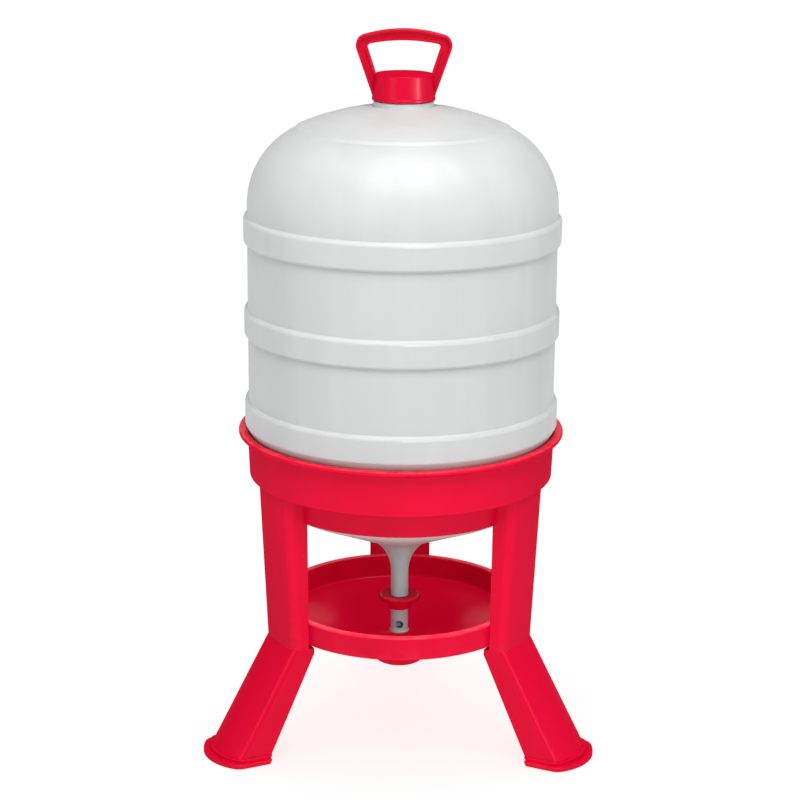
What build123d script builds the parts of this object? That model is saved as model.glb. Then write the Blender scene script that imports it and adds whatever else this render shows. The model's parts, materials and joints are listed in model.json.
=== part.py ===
from build123d import *

import os
from math import acos, cos, radians, sin, sqrt, tan

# Siphon drinker for poultry: a closed water tank that hangs its outlet tube over a shallow dish,
# held by a three-pillar cradle on three push-fit legs. Millimetres, +Z up, front is -Y.
# The origin is on the tank's axis, on the surface that the feet stand on.

# ---- clearances -------------------------------------------------------------------------------
SLIDE_GAP = 0.3
RUNNING_GAP = 0.08

# ---- tank -------------------------------------------------------------------------------------
TANK_R = 175.8
TANK_WALL = 2.6
RIB_R = 180.0
RIB_TOP_Z = 598.7
RIB_PITCH = 106.2
RIB_COUNT = 3
RIB_HALF_HEIGHT = 16.5
RIB_CHAMFER = 3.0
SHOULDER_ARC = 95.1
SHOULDER_Z = 624.5
SHOULDER_MIDDLE = 35.0
CROWN_ARC = 303.8
CROWN_TOP_Z = 737.5
CROWN_EDGE_R = 120.0
CROWN_STEP = 3.5
LOWER_R = 173.6
LOWER_TOP_Z = 361.5
SEAT_R = 145.9
SEAT_Z = 316.0
FUNNEL_SLOPE = 23.0
FUNNEL_CORNER = 24.0
SPOUT_R = 34.0
SPOUT_Z = 227.8
SPOUT_RECESS = 2.4

# ---- neck, cap and handle ---------------------------------------------------------------------
NECK_COLLAR_R = 33.8
NECK_COLLAR_Z = 741.4
NECK_R = 29.2
NECK_BORE_R = 26.4
NECK_TOP_Z = 765.6
NECK_ROOT = 10.0
THREAD_PITCH = 6.0
THREAD_TURNS = 2.0
THREAD_Z = 748.0
THREAD_HEIGHT = 1.5
THREAD_SINK = 0.5
THREAD_FOOT = 1.9
THREAD_CREST = 0.8
CAP_BOTTOM_Z = 742.6
CAP_TOP_Z = 771.6
CAP_BOTTOM_R = 35.0
CAP_TOP_R = 33.3
CAP_BEAD = 0.6
CAP_BEAD_HEIGHT = 3.0
CAP_CROWN = 2.6
CAP_BORE_R = 31.2
CAP_CEILING_Z = 767.4
GASKET_INNER_R = 24.5
HANDLE_TOP_Z = 820.9
HANDLE_SHOULDER_Z = 801.4
HANDLE_FOOT_Z = 743.8
HANDLE_HALF_WIDTH = 53.8
HANDLE_CORNER = 12.0
HANDLE_ARCH_DROP = 11.0
HANDLE_BAR = 12.4
HANDLE_DEPTH = 13.0
HANDLE_LIP = 2.6
HANDLE_WEB = 4.6
HANDLE_LEAN = 19.3
HANDLE_EDGE_ROUND = 1.0
WINDOW_LEAN = 17.8
WINDOW_HALF_WIDTH = 41.4
WINDOW_CORNER_Z = 803.9
WINDOW_CORNER = 4.0
WINDOW_SINK = 4.0

# ---- outlet tube and valve --------------------------------------------------------------------
TUBE_R = 10.2
TUBE_BORE_R = 7.8
TUBE_END_Z = 109.9
TUBE_END_WALL = 3.0
TUBE_BEAD_R = 11.3
TUBE_BEAD_HEIGHT = 3.6
TRUMPET_ARC = 50.0
HOLE_R = 4.8
HOLE_Z = 121.6
SPIGOT_R = 23.8
SPIGOT_TOP_Z = 236.4
SPIGOT_BARB = 1.2
SPIGOT_WALL = 3.4
TRUMPET_BORE_ROUND = 12.0
SEAL_R = 29.0
SEAL_WIDTH = 2.6
SEAL_DEPTH = 1.6
VALVE_FLANGE_R = 24.4
VALVE_FLANGE_HEIGHT = 6.6
VALVE_DISHING = 1.2
VALVE_EDGE_SHARE = 0.45
VALVE_COLLAR_R = 14.0
VALVE_BOTTOM_Z = 141.0
VALVE_TOP_Z = 158.0
O_RING_SECTION = 0.7
O_RING_HEIGHTS = (143.4, 155.4)

# ---- cradle -----------------------------------------------------------------------------------
RIM_R = 187.6
RIM_Z = 363.0
RIM_ROUND = 2.6
RIM_FLARE = 2.0
RIM_DISHING = 0.6
BAND_R = 177.4
BAND_INNER_R = 174.2
BAND_BOTTOM_Z = 311.0
BAND_TAPER = 2.0
SKIRT_R = 150.0
SKIRT_TAPER = 1.2
SKIRT_BOTTOM_Z = 278.6
SKIRT_WALL = 3.2
PILLAR_BOTTOM_Z = 127.0
PILLAR_TOP_Z = 313.0
PILLAR_R = 161.8
PILLAR_DRAFT = 2.96
PILLAR_OUTER_HALF = 36.5
PILLAR_INNER_HALF = 37.0
PILLAR_INNER_R = 140.4
PILLAR_INNER_DRAFT = 0.5
PILLAR_CORNER = 11.0
PILLAR_WALL = 3.0
PILLAR_CORE_TOP_Z = 264.0
PILLAR_HEAD_TOP_Z = 307.0
NOTCH_HALF = 16.4

# ---- dish -------------------------------------------------------------------------------------
DISH_R = 143.8
DISH_TOP_Z = 157.2
DISH_SKIRT_Z = 131.2
DISH_WALL = 2.3
DISH_INNER_R = 134.2
DISH_FLOOR_R = 131.6
DISH_FLOOR_Z = 130.8
SUMP_R = 38.0
SUMP_EDGE_Z = 94.5
SUMP_FLAT_R = 26.0
SUMP_Z = 77.0
SUMP_ROUND = 12.0
SUMP_EDGE_ROUND = 8.0
TONGUE_HALF = 16.0
TONGUE_THICKNESS = 3.2
TONGUE_END_R = 150.0

# ---- legs -------------------------------------------------------------------------------------
LEG_ANGLES = {"leg_back": 90, "leg_front_left": 210, "leg_front_right": 330}
LEG_WALL = 3.0
LEG_PLATE = 4.5
LEG_BEND_Z = 120.5
LEG_TOP_INNER_R = 133.5
LEG_FOOT_INNER_R = 195.5
LEG_FOOT_OUTER_R = 245.3
LEG_TOP_INNER_HALF = 37.0
LEG_FOOT_OUTER_HALF = 37.5
LEG_FOOT_INNER_HALF = 41.0
LEG_FOOT_ARC = 55.0
PLUG_TOP_Z = 166.0
SOLE_HEIGHT = 5.4
SOLE_PROUD = 6.2
SOLE_BEAD = 2.4
SOLE_BEAD_TOP_Z = 9.0
SOLE_BEAD_SHIFT = 3.6
SOLE_OVERLAP = 8.0
SOLE_EDGE_SHARE = 0.4
CHANNEL_REACH = 30.0
WEB_HEIGHTS = (38.0, 78.0)

EPS = 1.0  # how far a cutting solid runs past the face it opens


def outline(*corners):
    """Face from a closed outline; each corner is (across, up, fillet radius)."""
    points = [(across, up) for across, up, _ in corners]
    rounds = [corner_radius for _, _, corner_radius in corners]
    return make_face(FilletPolyline(*points, radius=rounds, close=True))


def turned(face):
    """Solid of revolution about Z of a face drawn as (radius, height)."""
    return revolve(Plane.XZ * face, Axis.Z)


def disc(radius, low, high):
    """Upright cylinder between two heights."""
    return Pos(0, 0, low) * Cylinder(radius, high - low, align=(Align.CENTER, Align.CENTER, Align.MIN))


def block(low, high):
    """Box between two opposite corners."""
    size = [b - a for a, b in zip(low, high)]
    return Pos(*low) * Box(*size, align=(Align.MIN, Align.MIN, Align.MIN))


def on_circle(radius, center, across):
    """Upper point of a circle at a given distance from the axis."""
    return (across, center[1] + sqrt(radius**2 - (across - center[0]) ** 2))


def helical_ridge(radius, height, first_z):
    """Thread ridge on a cylinder; a negative height points at the axis."""
    path = Pos(0, 0, first_z) * Helix(THREAD_PITCH, THREAD_PITCH * THREAD_TURNS, radius)
    side = 1 if height > 0 else -1
    section = make_face(
        Polyline(
            (-side * THREAD_SINK, -THREAD_FOOT / 2),
            (height, -THREAD_CREST / 2),
            (height, THREAD_CREST / 2),
            (-side * THREAD_SINK, THREAD_FOOT / 2),
            close=True,
        )
    )
    start = Plane(origin=path @ 0, x_dir=(1, 0, 0), z_dir=path % 0)
    return sweep(start * section, path, is_frenet=True)


# ---- tank -------------------------------------------------------------------------------------
def rib_corners(middle, inset):
    """One rib of the tank wall, from its lower edge to its upper edge."""
    half = RIB_HALF_HEIGHT - inset / 2
    wall_r = TANK_R - inset
    rib_r = RIB_R - inset
    return [
        (wall_r, middle - half, 0.8),
        (rib_r, middle - half + RIB_CHAMFER, 3.5),
        (rib_r, middle + half - RIB_CHAMFER, 4.5),
        (wall_r, middle + half, 1.2),
    ]


def tank_body(inset):
    """Tank from its spout to the shoulder, shrunk by inset."""
    rise = tan(radians(FUNNEL_SLOPE))
    lift = inset / cos(radians(FUNNEL_SLOPE))
    seat_r = SEAT_R - inset
    floor_z = SPOUT_Z + SPOUT_RECESS + inset
    cone_start_r = SPOUT_R
    cone_start_z = SPOUT_Z + lift
    if inset > 0:
        cone_start_r = SPOUT_R + (floor_z - cone_start_z) / rise
        cone_start_z = floor_z
    corners = [(0, floor_z, 0), (cone_start_r, floor_z, 0)]
    if inset == 0:
        corners.append((cone_start_r, cone_start_z, 0))
    corners += [
        (seat_r, SPOUT_Z + lift + (seat_r - SPOUT_R) * rise, FUNNEL_CORNER),
        (seat_r, SEAT_Z + inset, 0.8),
        (LOWER_R - inset, SEAT_Z + inset, 2.5),
        (LOWER_R - inset, LOWER_TOP_Z, 2.5),
    ]
    lowest = RIB_TOP_Z - (RIB_COUNT - 1) * RIB_PITCH
    corners += rib_corners(lowest, inset)[1:]
    for index in range(1, RIB_COUNT):
        corners += rib_corners(lowest + index * RIB_PITCH, inset)
    corners += [(TANK_R - inset, SHOULDER_Z, 0), (0, SHOULDER_Z, 0)]
    return turned(outline(*corners))


def tank_dome(inset):
    """Shoulder and raised crown of the tank, shrunk by inset."""
    shoulder_center = (TANK_R - SHOULDER_ARC, SHOULDER_Z)
    crown_center = (0, CROWN_TOP_Z - CROWN_ARC)
    shoulder = SHOULDER_ARC - inset
    crown = CROWN_ARC - inset
    step_foot = on_circle(shoulder, shoulder_center, CROWN_EDGE_R + CROWN_STEP)
    step_top = on_circle(crown, crown_center, CROWN_EDGE_R)
    rise = radians(SHOULDER_MIDDLE)
    shoulder_mid = (shoulder_center[0] + shoulder * cos(rise), SHOULDER_Z + shoulder * sin(rise))
    crown_mid = on_circle(crown, crown_center, CROWN_EDGE_R / 2)
    crown_top = (0, CROWN_TOP_Z - inset)
    face = make_face(
        [
            Line((0, SHOULDER_Z), (TANK_R - inset, SHOULDER_Z)),
            ThreePointArc((TANK_R - inset, SHOULDER_Z), shoulder_mid, step_foot),
            Line(step_foot, step_top),
            ThreePointArc(step_top, crown_mid, crown_top),
            Line(crown_top, (0, SHOULDER_Z)),
        ]
    )
    return turned(face)


def make_tank():
    neck = disc(NECK_COLLAR_R, CROWN_TOP_Z - NECK_ROOT, NECK_COLLAR_Z)
    neck += disc(NECK_R, CROWN_TOP_Z, NECK_TOP_Z)
    outside = tank_body(0) + tank_dome(0) + neck
    inside = tank_body(TANK_WALL) + tank_dome(TANK_WALL)
    mouth = disc(NECK_BORE_R, CROWN_TOP_Z - NECK_ROOT - EPS, NECK_TOP_Z + EPS)
    spout = disc(SPIGOT_R + RUNNING_GAP, SPOUT_Z - EPS, SPIGOT_TOP_Z)
    shell = outside - inside - mouth - spout
    return shell + helical_ridge(NECK_R, THREAD_HEIGHT, THREAD_Z)


# ---- outlet tube, its seal and the valve ------------------------------------------------------
def make_outlet_tube():
    flange_top_z = SPOUT_Z + SPOUT_RECESS
    edge_r = SPOUT_R - RUNNING_GAP
    flare = acos(1 - (edge_r - TUBE_R) / TRUMPET_ARC)
    trumpet_z = SPOUT_Z - TRUMPET_ARC * sin(flare)
    halfway_r = TUBE_R + TRUMPET_ARC * (1 - cos(flare / 2))
    halfway_z = trumpet_z + TRUMPET_ARC * sin(flare / 2)
    trumpet = make_face(
        [
            Polyline(
                (0, TUBE_END_Z + TUBE_BEAD_HEIGHT),
                (TUBE_R, TUBE_END_Z + TUBE_BEAD_HEIGHT),
                (TUBE_R, trumpet_z),
            ),
            ThreePointArc((TUBE_R, trumpet_z), (halfway_r, halfway_z), (edge_r, SPOUT_Z)),
            Polyline(
                (edge_r, SPOUT_Z),
                (edge_r, flange_top_z),
                (SPIGOT_R, flange_top_z),
                (SPIGOT_R, flange_top_z + TANK_WALL + RUNNING_GAP),
                (SPIGOT_R + SPIGOT_BARB, flange_top_z + TANK_WALL + RUNNING_GAP + SPIGOT_BARB / 2),
                (SPIGOT_R - SPIGOT_BARB, SPIGOT_TOP_Z),
                (0, SPIGOT_TOP_Z),
                (0, TUBE_END_Z + TUBE_BEAD_HEIGHT),
            ),
        ]
    )
    bead = outline(
        (0, TUBE_END_Z, 0),
        (TUBE_BEAD_R, TUBE_END_Z, 2.4),
        (TUBE_BEAD_R, TUBE_END_Z + TUBE_BEAD_HEIGHT, 0.6),
        (0, TUBE_END_Z + TUBE_BEAD_HEIGHT, 0),
    )
    bore = outline(
        (0, TUBE_END_Z + TUBE_END_WALL, 0),
        (TUBE_BORE_R, TUBE_END_Z + TUBE_END_WALL, 1.5),
        (TUBE_BORE_R, trumpet_z + TRUMPET_BORE_ROUND / 2, TRUMPET_BORE_ROUND),
        (SPIGOT_R - SPIGOT_WALL, SPIGOT_TOP_Z + EPS, 0),
        (0, SPIGOT_TOP_Z + EPS, 0),
    )
    hole = Pos(0, -TUBE_R, HOLE_Z) * Rot(90, 0, 0) * Cylinder(HOLE_R, TUBE_R)
    return turned(trumpet) + turned(bead) - turned(bore) - hole - seal_ring()


def seal_ring():
    """Flat ring that seals the outlet tube's flange to the tank."""
    top_z = SPOUT_Z + SPOUT_RECESS
    ring = disc(SEAL_R + SEAL_WIDTH / 2, top_z - SEAL_DEPTH, top_z)
    return ring - disc(SEAL_R - SEAL_WIDTH / 2, top_z - SEAL_DEPTH - EPS, top_z + EPS)


def o_ring_radius():
    return TUBE_R + RUNNING_GAP / 2 + O_RING_SECTION


def make_valve_sleeve():
    bore_r = TUBE_R + RUNNING_GAP
    flange_z = VALVE_TOP_Z - VALVE_FLANGE_HEIGHT
    edge_round = VALVE_FLANGE_HEIGHT * VALVE_EDGE_SHARE
    section = outline(
        (bore_r, VALVE_BOTTOM_Z, 0.4),
        (VALVE_COLLAR_R, VALVE_BOTTOM_Z, 0.8),
        (VALVE_COLLAR_R, flange_z, 2.5),
        (VALVE_FLANGE_R, flange_z, edge_round),
        (VALVE_FLANGE_R, VALVE_TOP_Z, edge_round),
        (bore_r, VALVE_TOP_Z - VALVE_DISHING, 0.4),
    )
    sleeve = turned(section)
    for height in O_RING_HEIGHTS:
        sleeve -= Pos(0, 0, height) * Torus(o_ring_radius(), O_RING_SECTION)
    return sleeve


def make_valve_o_rings():
    rings = [Pos(0, 0, height) * Torus(o_ring_radius(), O_RING_SECTION) for height in O_RING_HEIGHTS]
    return Compound(children=[ring.solid() for ring in rings])


# ---- filler cap -------------------------------------------------------------------------------
def handle_outline():
    """Outer outline of the carrying handle as a face in (X, Z)."""
    lean = tan(radians(HANDLE_LEAN))
    foot_x = HANDLE_HALF_WIDTH - (HANDLE_SHOULDER_Z - HANDLE_FOOT_Z) * lean
    shoulder_x = HANDLE_HALF_WIDTH + (HANDLE_TOP_Z - HANDLE_ARCH_DROP - HANDLE_SHOULDER_Z) * lean
    shoulder_z = HANDLE_TOP_Z - HANDLE_ARCH_DROP
    arch = ThreePointArc((-shoulder_x, shoulder_z), (0, HANDLE_TOP_Z), (shoulder_x, shoulder_z))
    sides = Polyline(
        (shoulder_x, shoulder_z),
        (foot_x, HANDLE_FOOT_Z),
        (-foot_x, HANDLE_FOOT_Z),
        (-shoulder_x, shoulder_z),
    )
    face = make_face([arch, sides])
    return fillet(face.vertices().group_by(Axis.Y)[-1], HANDLE_CORNER)


def handle_window():
    """Opening that the hand goes through, as a face in (X, Z)."""
    top_z = HANDLE_TOP_Z - HANDLE_BAR
    bottom_z = CAP_TOP_Z - WINDOW_SINK
    bottom_x = WINDOW_HALF_WIDTH - (WINDOW_CORNER_Z - bottom_z) * tan(radians(WINDOW_LEAN))
    left = (-WINDOW_HALF_WIDTH, WINDOW_CORNER_Z)
    right = (WINDOW_HALF_WIDTH, WINDOW_CORNER_Z)
    arch = ThreePointArc(left, (0, top_z), right)
    sides = Polyline(right, (bottom_x, bottom_z), (-bottom_x, bottom_z), left)
    face = make_face([arch, sides])
    return fillet(face.vertices().group_by(Axis.Y)[-1], WINDOW_CORNER)


def slab(face, thickness):
    """Face drawn in (X, Z) thickened evenly to both sides of the XZ plane."""
    return extrude(Plane.XZ * face, thickness / 2, both=True)


def make_handle():
    """D-shaped grip of I section: a thin web with a lip around both faces."""
    window = handle_window()
    bar = slab(handle_outline(), HANDLE_DEPTH) - slab(window, 2 * HANDLE_DEPTH)
    rims = bar.edges().filter_by(Axis.Y, reverse=True)
    rims = rims.filter_by(lambda edge: edge.length > HANDLE_DEPTH)
    bar = fillet(rims, HANDLE_EDGE_ROUND)
    pocket = offset(handle_outline(), -HANDLE_LIP) - offset(window, HANDLE_LIP)
    return bar - (slab(pocket, 2 * HANDLE_DEPTH) - slab(pocket, HANDLE_WEB))


def make_filler_cap():
    crown = outline(
        (0, CAP_BOTTOM_Z, 0),
        (CAP_BOTTOM_R + CAP_BEAD, CAP_BOTTOM_Z, 0.8),
        (CAP_BOTTOM_R + CAP_BEAD, CAP_BOTTOM_Z + CAP_BEAD_HEIGHT, 0.8),
        (CAP_BOTTOM_R, CAP_BOTTOM_Z + CAP_BEAD_HEIGHT + CAP_BEAD, 0.8),
        (CAP_TOP_R, CAP_TOP_Z, 1.8),
        (CAP_TOP_R / 5, CAP_TOP_Z + CAP_CROWN, 0),
        (0, CAP_TOP_Z + CAP_CROWN, 0),
    )
    cavity = disc(CAP_BORE_R, CAP_BOTTOM_Z - EPS, CAP_CEILING_Z)
    shell = turned(crown) + make_handle() - cavity
    thread_z = THREAD_Z + THREAD_PITCH / 2
    return shell + helical_ridge(CAP_BORE_R, -THREAD_HEIGHT, thread_z)


def make_cap_gasket():
    washer = disc(CAP_BORE_R - SLIDE_GAP, NECK_TOP_Z, CAP_CEILING_Z)
    return washer - disc(GASKET_INNER_R, NECK_TOP_Z - EPS, CAP_CEILING_Z + EPS)


# ---- cradle -----------------------------------------------------------------------------------
def pillar_r(height):
    """Outside radius of the drafted pillars at a height."""
    return PILLAR_R + (height - PILLAR_BOTTOM_Z) * tan(radians(PILLAR_DRAFT))


def radial_section(height, outer_r, arc_r, outer_half, inner_r, inner_half, corner):
    """Level section of a pillar or leg: round outside, flat inside, flared sides, +X outwards."""
    corner_x = outer_r - arc_r + sqrt(arc_r**2 - outer_half**2)
    face = make_face(
        [
            ThreePointArc((corner_x, -outer_half), (outer_r, 0), (corner_x, outer_half)),
            Polyline(
                (corner_x, outer_half),
                (inner_r, inner_half),
                (inner_r, -inner_half),
                (corner_x, -outer_half),
            ),
        ]
    )
    rounded = fillet(face.vertices().group_by(Axis.X)[-1], corner)
    return Pos(0, 0, height) * rounded


def pillar_section(height, inset):
    """Level section of a pillar, shrunk by inset."""
    outer_r = pillar_r(height) - inset
    inner_r = PILLAR_INNER_R + (height - PILLAR_BOTTOM_Z) * tan(radians(PILLAR_INNER_DRAFT)) + inset
    outer_half = PILLAR_OUTER_HALF - inset
    inner_half = PILLAR_INNER_HALF - inset
    return radial_section(height, outer_r, outer_r, outer_half, inner_r, inner_half, PILLAR_CORNER - inset)


def pillar(low, high, inset):
    return loft([pillar_section(low, inset), pillar_section(high, inset)], ruled=True)


def cradle_ring():
    """Flared rim, band, seat ledge and the skirt set back under it, in one turned section."""
    lip_low_z = RIM_Z - RIM_ROUND
    lip_top_z = RIM_Z + RIM_ROUND
    section = outline(
        (SKIRT_R, SKIRT_BOTTOM_Z, 0.8),
        (SKIRT_R + SKIRT_TAPER, BAND_BOTTOM_Z, 2.0),
        (BAND_R - BAND_TAPER, BAND_BOTTOM_Z, 1.2),
        (BAND_R, lip_low_z - RIM_FLARE, 5.0),
        (RIM_R, lip_low_z, 2.0),
        (RIM_R, lip_top_z, 2.2),
        (BAND_R, lip_top_z - RIM_DISHING, 3.0),
        (BAND_INNER_R, lip_top_z - 2 * RIM_ROUND, 1.6),
        (BAND_INNER_R, SEAT_Z, 0.4),
        (SKIRT_R - SKIRT_WALL, SEAT_Z, 0.8),
        (SKIRT_R - SKIRT_WALL, SKIRT_BOTTOM_Z, 0.8),
    )
    return turned(section)


def seat_clearance():
    """Room for the tank's funnel above the heads of the pillars."""
    rise = tan(radians(FUNNEL_SLOPE))
    low_z = SPOUT_Z - 2 * SLIDE_GAP
    wall_r = SEAT_R + 2 * SLIDE_GAP
    wall_z = low_z + (wall_r - SPOUT_R) * rise
    high_z = PILLAR_TOP_Z + EPS
    section = outline(
        (0, low_z, 0),
        (SPOUT_R, low_z, 0),
        (wall_r, wall_z, 0),
        (wall_r, high_z, 0),
        (0, high_z, 0),
    )
    return turned(section)


def inner_head():
    """Part of the pillar heads that stays solid, between the skirt and the tank's funnel."""
    return disc(SKIRT_R + SKIRT_TAPER, PILLAR_CORE_TOP_Z, PILLAR_HEAD_TOP_Z + EPS)


def around(angle, solid):
    """Solid made along +X turned to an angle about Z."""
    return Rot(0, 0, angle) * solid


def make_cradle():
    cradle = cradle_ring()
    head_room = seat_clearance()
    post = pillar(PILLAR_BOTTOM_Z, PILLAR_TOP_Z, 0) - head_room
    core = pillar(PILLAR_BOTTOM_Z - EPS, PILLAR_HEAD_TOP_Z, PILLAR_WALL) - inner_head()
    notch = block(
        (PILLAR_INNER_R - EPS, -NOTCH_HALF, PILLAR_BOTTOM_Z - EPS),
        (PILLAR_INNER_R + PILLAR_WALL + EPS, NOTCH_HALF, PILLAR_BOTTOM_Z + TONGUE_THICKNESS + SLIDE_GAP),
    )
    for angle in LEG_ANGLES.values():
        cradle += around(angle, post)
    for angle in LEG_ANGLES.values():
        cradle -= around(angle, core)
        cradle -= around(angle, notch)
    return cradle


# ---- dish -------------------------------------------------------------------------------------
def make_dish():
    floor_drop = (DISH_FLOOR_Z - SUMP_EDGE_Z) / (DISH_FLOOR_R - SUMP_R)
    floor_skin = DISH_WALL * sqrt(1 + floor_drop**2)
    slant = DISH_WALL / 3
    shell = outline(
        (0, SUMP_Z, 0),
        (SUMP_FLAT_R, SUMP_Z, SUMP_ROUND),
        (SUMP_R, SUMP_EDGE_Z, SUMP_EDGE_ROUND),
        (DISH_FLOOR_R, DISH_FLOOR_Z, 3.5),
        (DISH_INNER_R, DISH_TOP_Z, 1.6),
        (DISH_R, DISH_TOP_Z, 2.6),
        (DISH_R, DISH_SKIRT_Z, 0),
        (DISH_R - DISH_WALL, DISH_SKIRT_Z, 0),
        (DISH_R - DISH_WALL, DISH_TOP_Z - DISH_WALL, 0.6),
        (DISH_INNER_R + DISH_WALL, DISH_TOP_Z - DISH_WALL, 0.6),
        (DISH_FLOOR_R + DISH_WALL, DISH_FLOOR_Z - floor_skin, 4.5),
        (SUMP_R + slant, SUMP_EDGE_Z - floor_skin, SUMP_EDGE_ROUND - DISH_WALL),
        (SUMP_FLAT_R + slant, SUMP_Z - DISH_WALL, SUMP_ROUND + DISH_WALL / 2),
        (0, SUMP_Z - DISH_WALL, 0),
    )
    dish = turned(shell)
    tongue = block(
        (DISH_FLOOR_R + slant, -TONGUE_HALF, PILLAR_BOTTOM_Z),
        (TONGUE_END_R, TONGUE_HALF, PILLAR_BOTTOM_Z + TONGUE_THICKNESS),
    )
    room = pillar(PILLAR_BOTTOM_Z + SLIDE_GAP, DISH_TOP_Z + 2 * EPS, -SLIDE_GAP)
    for angle in LEG_ANGLES.values():
        dish -= around(angle, room)
    for angle in LEG_ANGLES.values():
        dish += around(angle, tongue)
    return dish


# ---- legs -------------------------------------------------------------------------------------
def leg_inner_r(height):
    """Distance from the axis to the leg's inner edges at a height."""
    splay = max(0.0, (LEG_BEND_Z - height) / LEG_BEND_Z)
    return LEG_TOP_INNER_R + (LEG_FOOT_INNER_R - LEG_TOP_INNER_R) * splay


def leg_section(height, inset, inward=0.0):
    """Level section of a leg; inward opens a cutting section through the inner side."""
    down = (PILLAR_BOTTOM_Z - height) / PILLAR_BOTTOM_Z
    outer_r = PILLAR_R + (LEG_FOOT_OUTER_R - PILLAR_R) * down - inset
    inner_r = leg_inner_r(height) - inward
    arc_r = PILLAR_R + (LEG_FOOT_ARC - PILLAR_R) * down - inset
    outer_half = PILLAR_OUTER_HALF + (LEG_FOOT_OUTER_HALF - PILLAR_OUTER_HALF) * down - inset
    inner_half = LEG_TOP_INNER_HALF + (LEG_FOOT_INNER_HALF - LEG_TOP_INNER_HALF) * down - inset
    return radial_section(height, outer_r, arc_r, outer_half, inner_r, inner_half, PILLAR_CORNER - inset)


def leg_solid(heights, inset, inward=0.0):
    return loft([leg_section(height, inset, inward) for height in heights], ruled=True)


def sole(proud, low, high, shift):
    """Flange around the foot: the leg's lowest outline grown on its three outer sides."""
    outer_r = LEG_FOOT_OUTER_R + proud - shift
    arc_r = LEG_FOOT_ARC + proud
    face = radial_section(
        low,
        outer_r,
        arc_r,
        LEG_FOOT_OUTER_HALF + proud,
        LEG_FOOT_INNER_R - shift - SOLE_OVERLAP,
        LEG_FOOT_INNER_HALF + proud,
        PILLAR_CORNER + proud / 2,
    )
    flange = extrude(face, high - low)
    top_round = min(proud, high - low) * SOLE_EDGE_SHARE
    return fillet(flange.edges().group_by(Axis.Z)[-1], top_round) - inside_of_foot()


def inside_of_foot():
    """Space on the axis side of the leg's inner edges, which the soles end against."""
    ends = []
    for height in (-EPS, SOLE_BEAD_TOP_Z + EPS):
        middle_r = leg_inner_r(height) - CHANNEL_REACH / 2
        ends.append(Pos(middle_r, 0, height) * Rectangle(CHANNEL_REACH, 4 * LEG_FOOT_INNER_HALF))
    return loft(ends, ruled=True)


def leg_plug():
    """Channel that stands up into the hollow pillar, open towards the axis."""
    low_z = PILLAR_BOTTOM_Z - LEG_PLATE / 2
    gap = PILLAR_WALL + SLIDE_GAP
    outside = pillar(low_z, PLUG_TOP_Z, gap)
    core = pillar(low_z - EPS, PLUG_TOP_Z + EPS, gap + LEG_WALL)
    half = PILLAR_INNER_HALF - gap - LEG_WALL
    mouth = block(
        (PILLAR_INNER_R, -half, low_z - EPS),
        (PILLAR_INNER_R + gap + 2 * LEG_WALL, half, PLUG_TOP_Z + EPS),
    )
    return outside - core - mouth


def leg_web(height):
    """Level stiffening web across the channel of the leg."""
    filled = leg_solid([0, LEG_BEND_Z], LEG_WALL / 2)
    level = block(
        (LEG_TOP_INNER_R, -LEG_FOOT_INNER_HALF, height),
        (LEG_FOOT_OUTER_R, LEG_FOOT_INNER_HALF, height + LEG_WALL),
    )
    return filled & level


def make_leg():
    shell = leg_solid([0, LEG_BEND_Z, PILLAR_BOTTOM_Z], 0)
    shell += sole(SOLE_PROUD, 0, SOLE_HEIGHT, 0)
    shell += sole(SOLE_BEAD, SOLE_HEIGHT - EPS, SOLE_BEAD_TOP_Z, SOLE_BEAD_SHIFT)
    channel = leg_solid([-EPS, LEG_BEND_Z, PILLAR_BOTTOM_Z - LEG_PLATE], LEG_WALL, CHANNEL_REACH)
    leg = shell - channel + leg_plug()
    for height in WEB_HEIGHTS:
        leg += leg_web(height)
    return leg


def export(node, shape):
    export_step(shape, f"parts/{node}.step")
    print(f"{node:18s} {shape.volume / 1000:9.1f} cm3  solids {len(shape.solids())}")


def main():
    os.makedirs("parts", exist_ok=True)
    export("tank", make_tank())
    export("outlet_tube", make_outlet_tube())
    export("outlet_seal", seal_ring())
    export("valve_sleeve", make_valve_sleeve())
    export("valve_o_rings", make_valve_o_rings())
    export("filler_cap", make_filler_cap())
    export("cap_gasket", make_cap_gasket())
    export("cradle", make_cradle())
    export("dish", make_dish())
    leg = make_leg()
    for node, angle in LEG_ANGLES.items():
        export(node, around(angle, leg))


main()
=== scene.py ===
"""Looks of a siphon drinker for poultry: a translucent tank in a red cradle on three legs. Metres."""

import json
import math

import bmesh
import bpy
from mathutils import Matrix, Vector


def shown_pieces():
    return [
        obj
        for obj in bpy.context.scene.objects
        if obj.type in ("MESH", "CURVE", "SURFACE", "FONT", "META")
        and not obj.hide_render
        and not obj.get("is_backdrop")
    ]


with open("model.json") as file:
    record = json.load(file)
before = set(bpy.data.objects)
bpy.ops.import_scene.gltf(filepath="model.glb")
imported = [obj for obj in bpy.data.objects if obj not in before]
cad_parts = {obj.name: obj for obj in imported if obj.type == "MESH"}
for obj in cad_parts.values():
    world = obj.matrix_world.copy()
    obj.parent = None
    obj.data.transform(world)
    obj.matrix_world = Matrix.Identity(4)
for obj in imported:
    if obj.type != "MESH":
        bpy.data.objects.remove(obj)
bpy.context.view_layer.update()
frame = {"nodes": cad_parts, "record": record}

# ---- camera: distances in metres, lens and sensor in millimetres --------------------------------
CAMERA_PLACE = (0.0, -2.3817, 1.0545)
CAMERA_PITCH = math.radians(90 - 15.469)
CAMERA_ROLL = math.radians(0.484)
CAMERA_LENS = 96.11
CAMERA_SENSOR = 36.0
CAMERA_SHIFT = -0.0014
CAMERA_REACH = 200.0

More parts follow.
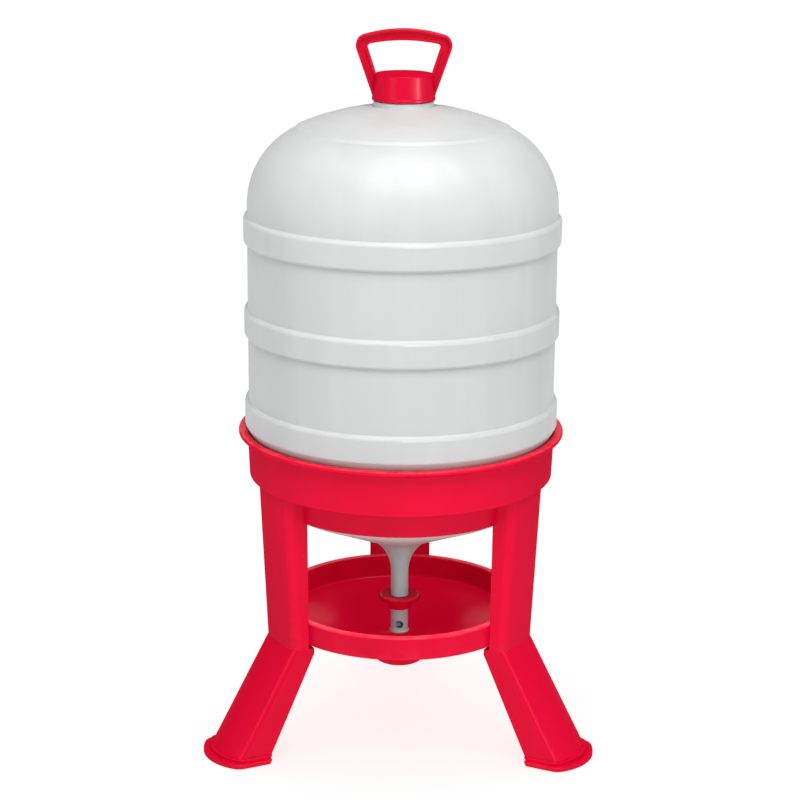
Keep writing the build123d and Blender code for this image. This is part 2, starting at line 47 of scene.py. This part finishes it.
# ---- studio -------------------------------------------------------------------------------------
WHITE = (1, 1, 1, 1)
STUDIO_GREY = (0.50, 0.50, 0.50, 1)
STUDIO_PALE = (0.53, 0.53, 0.53, 1)
STUDIO_ROUGHNESS = 0.85
STUDIO_BUMP = 0.0001
FLOOR_RADIUS = 40.0
FLOOR_SIDES = 96
FLOOR_GLOW = 0.80
BACKDROP_HEIGHT = 12.0
BACKDROP_GLOW = 1.0
SKY_AT_HORIZON = 0.30
SKY_OVERHEAD = 0.50
KEY_PLACE = (0.12, -1.7, 3.1)
KEY_AIM = (0, 0, 0.55)
KEY_SIZE = (2.0, 1.6)
SIDE_AIM = (0, 0, 0.40)
SIDE_SIZE = (0.9, 1.3)
TUBE_NODES = ("outlet_tube", "valve_sleeve")
RIM_NODES = ("cradle", "dish", "valve_sleeve")

# ---- colours ------------------------------------------------------------------------------------
RED_DEEP = (0.580, 0.0006, 0.0240, 1)
RED_LIGHT = (0.620, 0.0012, 0.0290, 1)
# Light salmon red painted on convex edges and upward lips as a highlight.
RED_PAINTED_HIGHLIGHT = (0.82, 0.110, 0.120, 1)
TANK_MILKY = (0.505, 0.512, 0.513, 1)
TANK_PALE = (0.540, 0.546, 0.547, 1)
# Grey painted with a cyan tint that cancels the red light bounced on the tube from the dish.
TUBE_GREY_PAINTED_COOL = (0.36, 0.50, 0.502, 1)
TUBE_PALE_PAINTED_COOL = (0.41, 0.56, 0.562, 1)
SEAL_BLACK = (0.018, 0.018, 0.019, 1)
SEAL_DUSTY = (0.050, 0.050, 0.052, 1)

# ---- scuffs and painted highlights of the red plastic: heights above the floor between which a zone fades in or out ---
SCUFF_TOP_Z = 0.035
DISH_LIP_HIGHLIGHT_Z = (0.150, 0.154)
CRADLE_LIP_HIGHLIGHT_Z = (0.370, 0.400)
HANDLE_LIP_HIGHLIGHT_Z = (0.785, 0.795)

# Values of pointiness, slope and noise at which a mask starts and is full.
CONVEX_EDGE = (0.54, 0.66)
UPWARD_SLOPE = (0.35, 0.90)
EDGE_HIGHLIGHT_PATCHES = (0.45, 0.65)
SCUFF_PATCHES = (0.50, 0.62)

# Least and most of each share of painted highlight and of scuffing.
EDGE_HIGHLIGHT = (0.02, 0.16)
LIP_HIGHLIGHT_COVER = (0.12, 0.36)
SCUFF_COVER = (0.0, 0.5)
SCUFF_ROUGHNESS = 0.35

# ---- roughness of each material, least and most -------------------------------------------------
RED_ROUGHNESS = (0.30, 0.40)
TANK_ROUGHNESS = (0.40, 0.50)
TUBE_ROUGHNESS = (0.36, 0.48)
SEAL_ROUGHNESS = (0.60, 0.80)

# ---- noise: its own roughness, and the parts of its range that the materials use ----------------
NOISE_ROUGHNESS = 0.55
NOISE_SPAN = (0.3, 0.7)
NOISE_CORE = (0.35, 0.65)
TANK_SHADE = (0.38, 0.62)
SEAL_DUST = (0.4, 0.7)

PLASTIC_IOR = 1.50

# Sockets of the Mix node when it mixes colours: its names are shared with those for numbers.
MIX_SHARE = 0
MIX_FIRST = 6
MIX_SECOND = 7
MIX_RESULT = 2


class Nodes:
    """Short calls for the node tree of one material or world."""

    def __init__(self, tree):
        self.tree = tree
        self.tree.nodes.clear()

    def feed(self, socket, value):
        """Links the socket when value is a socket too, or else sets it."""
        if isinstance(value, bpy.types.NodeSocket):
            self.tree.links.new(value, socket)
        else:
            socket.default_value = value

    def add(self, kind, settings=None, inputs=None):
        """New node of that kind, with its settings made and its inputs fed."""
        node = self.tree.nodes.new(kind)
        for name, value in (settings or {}).items():
            setattr(node, name, value)
        for name, value in (inputs or {}).items():
            self.feed(node.inputs[name], value)
        return node

    def math(self, operation, first, second):
        return self.add("ShaderNodeMath", {"operation": operation}, {0: first, 1: second}).outputs[0]

    def place(self, scale=(1, 1, 1)):
        """The point on the object in metres, stretched by scale."""
        coords = self.add("ShaderNodeTexCoord").outputs["Object"]
        return self.add("ShaderNodeMapping", {}, {"Vector": coords, "Scale": scale}).outputs[0]

    def height(self):
        """Height of the point above the floor at rest, in metres."""
        return self.add("ShaderNodeSeparateXYZ", {}, {0: self.place()}).outputs["Z"]

    def noise(self, scale, detail=4.0, stretch=(1, 1, 1), twist=0.0):
        """Noise from nothing to one on the object, in about scale features per metre."""
        inputs = {
            "Vector": self.place(stretch),
            "Scale": scale,
            "Detail": detail,
            "Roughness": NOISE_ROUGHNESS,
            "Distortion": twist,
        }
        return self.add("ShaderNodeTexNoise", {}, inputs).outputs["Fac"]

    def remap(self, value, low, high, to_low=0.0, to_high=1.0):
        """Goes smoothly from to_low to to_high as value goes from low to high."""
        settings = {"interpolation_type": "SMOOTHSTEP"}
        inputs = {"Value": value, "From Min": low, "From Max": high, "To Min": to_low, "To Max": to_high}
        return self.add("ShaderNodeMapRange", settings, inputs).outputs[0]

    def blend(self, share, first, second):
        """Colour that goes from first to second as share goes from nothing to one."""
        node = self.add("ShaderNodeMix", {"data_type": "RGBA"})
        self.feed(node.inputs[MIX_SHARE], share)
        self.feed(node.inputs[MIX_FIRST], first)
        self.feed(node.inputs[MIX_SECOND], second)
        return node.outputs[MIX_RESULT]

    def edges(self):
        """One on convex edges, nothing on flat and hollow surfaces."""
        point = self.add("ShaderNodeNewGeometry").outputs["Pointiness"]
        return self.remap(point, *CONVEX_EDGE)

    def upward(self):
        """One on faces that look up, nothing on upright and hanging ones."""
        normal = self.add("ShaderNodeNewGeometry").outputs["Normal"]
        slope = self.add("ShaderNodeSeparateXYZ", {}, {"Vector": normal}).outputs["Z"]
        return self.remap(slope, *UPWARD_SLOPE)

    def bumps(self, *layers):
        """Layers of (height socket, depth in metres), chained into one normal."""
        normal = None
        for height, depth in layers:
            inputs = {"Height": height, "Distance": depth, "Strength": 1.0}
            if normal is not None:
                inputs["Normal"] = normal
            normal = self.add("ShaderNodeBump", {}, inputs).outputs[0]
        return normal

    def plastic(self, colour, roughness, normal, **fixed):
        """Ends the material; fixed holds shader inputs, with _ for each space in their names."""
        inputs = {"Base Color": colour, "Roughness": roughness, "Normal": normal}
        inputs.update({name.replace("_", " "): value for name, value in fixed.items()})
        shader = self.add("ShaderNodeBsdfPrincipled", {}, inputs)
        self.add("ShaderNodeOutputMaterial", {}, {"Surface": shader.outputs[0]})


def new_material(name):
    material = bpy.data.materials.new(name)
    material.use_nodes = True
    return material, Nodes(material.node_tree)


def red_painted_highlights(nodes, mottle):
    """Share of painted highlight colour: painted highlights on convex edges, and on the upward-facing lips
    of dish, cradle and handle.
    """
    # Painted highlight on convex edges, in patches.
    edge_highlight = nodes.math("MULTIPLY", nodes.edges(), nodes.remap(mottle, *EDGE_HIGHLIGHT_PATCHES, *EDGE_HIGHLIGHT))
    # Painted highlight on upward-facing lips within height zones: dish lip, cradle rim and handle top.
    above_dish_floor = nodes.remap(nodes.height(), *DISH_LIP_HIGHLIGHT_Z)
    under_cap = nodes.remap(nodes.height(), *CRADLE_LIP_HIGHLIGHT_Z, 1.0, 0.0)
    handle = nodes.remap(nodes.height(), *HANDLE_LIP_HIGHLIGHT_Z)
    zones = nodes.math("MAXIMUM", nodes.math("MULTIPLY", above_dish_floor, under_cap), handle)
    lips = nodes.math("MULTIPLY", nodes.upward(), zones)
    lip_highlight = nodes.math("MULTIPLY", lips, nodes.remap(mottle, *NOISE_CORE, *LIP_HIGHLIGHT_COVER))
    return nodes.math("MAXIMUM", edge_highlight, lip_highlight)


def red_plastic():
    """Injection-moulded polypropylene: satin, with faint flow marks, rougher where scuffed on its feet, and
    with painted highlights on its edges and upward lips.
    """
    material, nodes = new_material("red_plastic")
    flow = nodes.noise(scale=9.0, detail=3.0, stretch=(1, 1, 0.35), twist=0.6)
    mottle = nodes.noise(scale=60.0)
    grain = nodes.noise(scale=900.0, detail=2.0)
    clean = nodes.blend(nodes.remap(flow, *NOISE_CORE), RED_DEEP, RED_LIGHT)
    # Painted highlights: edges and upward lips are lightened towards the salmon red.
    colour = nodes.blend(red_painted_highlights(nodes, mottle), clean, RED_PAINTED_HIGHLIGHT)
    near_floor = nodes.remap(nodes.height(), 0.0, SCUFF_TOP_Z, 1.0, 0.0)
    scuffed = nodes.math("MULTIPLY", near_floor, nodes.remap(mottle, *SCUFF_PATCHES, *SCUFF_COVER))
    satin = nodes.remap(mottle, *NOISE_SPAN, *RED_ROUGHNESS)
    roughness = nodes.math("ADD", satin, nodes.math("MULTIPLY", scuffed, SCUFF_ROUGHNESS))
    normal = nodes.bumps((flow, 0.00025), (mottle, 0.00005), (grain, 0.00002))
    # The gloss comes from a thin coat alone, which keeps the red under it deep.
    nodes.plastic(
        colour,
        roughness,
        normal,
        Specular_IOR_Level=0.0,
        Coat_Weight=0.035,
        Coat_Roughness=0.28,
        Coat_IOR=2.8,
        Coat_Normal=normal,
    )
    return material


def tank_plastic():
    """Blow-moulded polyethylene: milky, a little wavy, with faint upright draw marks."""
    material, nodes = new_material("tank_plastic")
    streaks = nodes.noise(scale=26.0, detail=3.0, stretch=(1, 1, 0.04))
    cloud = nodes.noise(scale=5.0, detail=2.0, stretch=(1, 1, 0.6))
    wave = nodes.noise(scale=11.0, detail=1.0, stretch=(1, 1, 0.35))
    grain = nodes.noise(scale=700.0, detail=2.0)
    shade = nodes.math("ADD", nodes.math("MULTIPLY", streaks, 0.5), nodes.math("MULTIPLY", cloud, 0.5))
    nodes.plastic(
        nodes.blend(nodes.remap(shade, *TANK_SHADE), TANK_MILKY, TANK_PALE),
        nodes.remap(nodes.noise(scale=40.0), *NOISE_SPAN, *TANK_ROUGHNESS),
        nodes.bumps((wave, 0.0010), (streaks, 0.00010), (grain, 0.00002)),
        IOR=PLASTIC_IOR,
        Specular_IOR_Level=0.35,
        Subsurface_Weight=0.25,
        Subsurface_Radius=(1.0, 0.95, 0.9),
        Subsurface_Scale=0.012,
    )
    return material


def grey_plastic():
    """Injection-moulded grey polyethylene of the outlet tube, its grey painted cyan to cancel the red light
    bounced on it from the dish.
    """
    material, nodes = new_material("grey_plastic")
    streaks = nodes.noise(scale=60.0, detail=3.0, stretch=(1, 1, 0.1))
    mottle = nodes.noise(scale=120.0, detail=3.0)
    nodes.plastic(
        nodes.blend(nodes.remap(streaks, *NOISE_CORE), TUBE_GREY_PAINTED_COOL, TUBE_PALE_PAINTED_COOL),
        nodes.remap(mottle, *NOISE_SPAN, *TUBE_ROUGHNESS),
        nodes.bumps((streaks, 0.00012), (mottle, 0.00004)),
        IOR=PLASTIC_IOR,
    )
    return material


def seal_rubber():
    """Matte black elastomer of the seals."""
    material, nodes = new_material("seal_rubber")
    dust = nodes.noise(scale=300.0)
    nodes.plastic(
        nodes.blend(nodes.remap(dust, *SEAL_DUST), SEAL_BLACK, SEAL_DUSTY),
        nodes.remap(dust, *NOISE_SPAN, *SEAL_ROUGHNESS),
        nodes.bumps((dust, 0.00006)),
        IOR=PLASTIC_IOR,
    )
    return material


def clothe_nodes():
    """Gives each CAD node the material of its slot, and smooth shading."""
    made = {
        "red_plastic": red_plastic(),
        "tank_plastic": tank_plastic(),
        "grey_plastic": grey_plastic(),
        "seal_rubber": seal_rubber(),
    }
    for part in frame["record"]["subparts"]:
        mesh = frame["nodes"][part["node"]].data
        mesh.materials.clear()
        mesh.materials.append(made[part["material_slot"]])
        mesh.polygons.foreach_set("use_smooth", [True] * len(mesh.polygons))


def studio_object(name, form):
    """Turns the form into an object of the scene with a new material of the same name."""
    mesh = bpy.data.meshes.new(name)
    form.to_mesh(mesh)
    form.free()
    made = bpy.data.objects.new(name, mesh)
    bpy.context.scene.collection.objects.link(made)
    material, nodes = new_material(name)
    mesh.materials.append(material)
    return made, nodes


def make_floor():
    """Pale studio floor, far wider than any view of it."""
    form = bmesh.new()
    bmesh.ops.create_circle(form, cap_ends=True, radius=FLOOR_RADIUS, segments=FLOOR_SIDES)
    floor, nodes = studio_object("studio_floor", form)
    tone = nodes.remap(nodes.noise(scale=3.0, detail=2.0), *NOISE_SPAN)
    nodes.plastic(
        nodes.blend(tone, STUDIO_GREY, STUDIO_PALE),
        STUDIO_ROUGHNESS,
        nodes.bumps((nodes.noise(scale=40.0), STUDIO_BUMP)),
        Specular_IOR_Level=0.1,
        Emission_Color=WHITE,
        Emission_Strength=FLOOR_GLOW,
    )
    floor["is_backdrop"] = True


def make_backdrop():
    """White wall round the floor's far edge, seen by the camera alone."""
    form = bmesh.new()
    bmesh.ops.create_circle(form, radius=FLOOR_RADIUS, segments=FLOOR_SIDES)
    raised = bmesh.ops.extrude_edge_only(form, edges=form.edges[:])["geom"]
    top = [item for item in raised if isinstance(item, bmesh.types.BMVert)]
    bmesh.ops.translate(form, verts=top, vec=(0, 0, BACKDROP_HEIGHT))
    wall, nodes = studio_object("studio_backdrop", form)
    wall.visible_diffuse = False
    wall.visible_glossy = False
    wall.visible_shadow = False
    nodes.plastic(
        nodes.blend(nodes.noise(scale=3.0), STUDIO_GREY, STUDIO_PALE),
        STUDIO_ROUGHNESS,
        nodes.bumps((nodes.noise(scale=40.0), STUDIO_BUMP)),
        Emission_Color=WHITE,
        Emission_Strength=BACKDROP_GLOW,
    )
    wall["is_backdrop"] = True


def make_sky():
    """Soft white light from all round, brightest overhead."""
    world = bpy.data.worlds.new("studio")
    bpy.context.scene.world = world
    world.use_nodes = True
    nodes = Nodes(world.node_tree)
    direction = nodes.add("ShaderNodeTexCoord").outputs["Generated"]
    up = nodes.add("ShaderNodeSeparateXYZ", {}, {0: direction}).outputs["Z"]
    strength = nodes.remap(up, 0.0, 0.8, SKY_AT_HORIZON, SKY_OVERHEAD)
    sky = nodes.add("ShaderNodeBackground", {}, {"Color": WHITE, "Strength": strength})
    nodes.add("ShaderNodeOutputWorld", {}, {"Surface": sky.outputs[0]})


def soft_box(name, place, aim, size, power, lit, shadows=None, gloss_only=False):
    """Rectangular softbox of size (width, height) that points from place to aim.

    It lights only the pieces in lit. Where shadows is given, only its pieces cast shadows from this
    light. A gloss_only light is seen in reflections and adds nothing to the matte part of a surface.
    """
    data = bpy.data.lights.new(name, "AREA")
    data.shape = "RECTANGLE"
    data.size, data.size_y = size
    data.energy = power
    lamp = bpy.data.objects.new(name, data)
    bpy.context.scene.collection.objects.link(lamp)
    turn = (Vector(aim) - Vector(place)).to_track_quat("-Z", "Y")
    lamp.matrix_world = Matrix.Translation(place) @ turn.to_matrix().to_4x4()
    lamp.light_linking.receiver_collection = lit
    if shadows is not None:
        lamp.light_linking.blocker_collection = shadows
    lamp.visible_diffuse = not gloss_only


def lit_group(name, pieces):
    """Collection that a light is limited to."""
    group = bpy.data.collections.new(name)
    for piece in pieces:
        group.objects.link(piece)
    return group


def lit_nodes(name, node_names):
    """The same, for CAD nodes given by name."""
    return lit_group(name, [frame["nodes"][node] for node in node_names])


def make_studio():
    """Floor, backdrop, sky, and softboxes with their power in watts."""
    make_floor()
    make_backdrop()
    make_sky()
    whole = lit_group("lit_pieces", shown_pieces())
    all_but_cap = lit_group("lit_but_cap", [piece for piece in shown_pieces() if piece.name != "filler_cap"])
    tank = lit_nodes("lit_tank", ["tank"])
    cradle = lit_nodes("lit_cradle", ["cradle"])
    tube = lit_nodes("lit_tube", TUBE_NODES)
    dish = lit_nodes("lit_dish", ["dish"])
    cap = lit_nodes("lit_cap", ["filler_cap"])
    rims = lit_nodes("lit_rims", RIM_NODES)
    soft_box("key_light", KEY_PLACE, KEY_AIM, KEY_SIZE, 96, all_but_cap)
    soft_box("cap_key", KEY_PLACE, KEY_AIM, KEY_SIZE, 80, cap)
    soft_box("right_box", (1.80, -2.10, 0.95), SIDE_AIM, SIDE_SIZE, 13, whole)
    soft_box("left_box", (-1.80, -2.10, 0.95), SIDE_AIM, SIDE_SIZE, 9, whole)
    soft_box("tube_light", (0.4, -1.5, 0.60), (0, 0, 0.12), (0.5, 0.4), 6.5, tube, shadows=tube)
    soft_box("cap_strip", (1.50, -1.05, 0.50), (0, 0, 0.76), (0.22, 0.9), 30, cap, gloss_only=True)
    soft_box("rim_gloss", (0, 2.6, 1.35), (0, 0, 0.25), (3.0, 1.0), 60, rims, gloss_only=True)
    soft_box("low_front", (0, -2.3, 0.25), (0, 0, 0.29), (1.4, 0.5), 8, cradle)
    soft_box("dome_gloss", (0.0, -0.55, 3.0), (0, 0, 0.65), (3.2, 0.8), 48, tank, gloss_only=True)
    soft_box("dish_light", (0.45, -0.35, 1.9), (-0.03, 0, 0.14), (0.6, 0.6), 16, dish, shadows=dish)


def make_camera():
    data = bpy.data.cameras.new("camera")
    data.sensor_width = CAMERA_SENSOR
    data.lens = CAMERA_LENS
    data.shift_x = CAMERA_SHIFT
    data.clip_end = CAMERA_REACH
    camera = bpy.data.objects.new("camera", data)
    bpy.context.scene.collection.objects.link(camera)
    camera.matrix_world = (
        Matrix.Translation(CAMERA_PLACE)
        @ Matrix.Rotation(CAMERA_PITCH, 4, "X")
        @ Matrix.Rotation(CAMERA_ROLL, 4, "Z")
    )
    bpy.context.scene.camera = camera


make_camera()
clothe_nodes()
make_studio()
bpy.context.scene.view_settings.view_transform = "Standard"
bpy.context.view_layer.update()
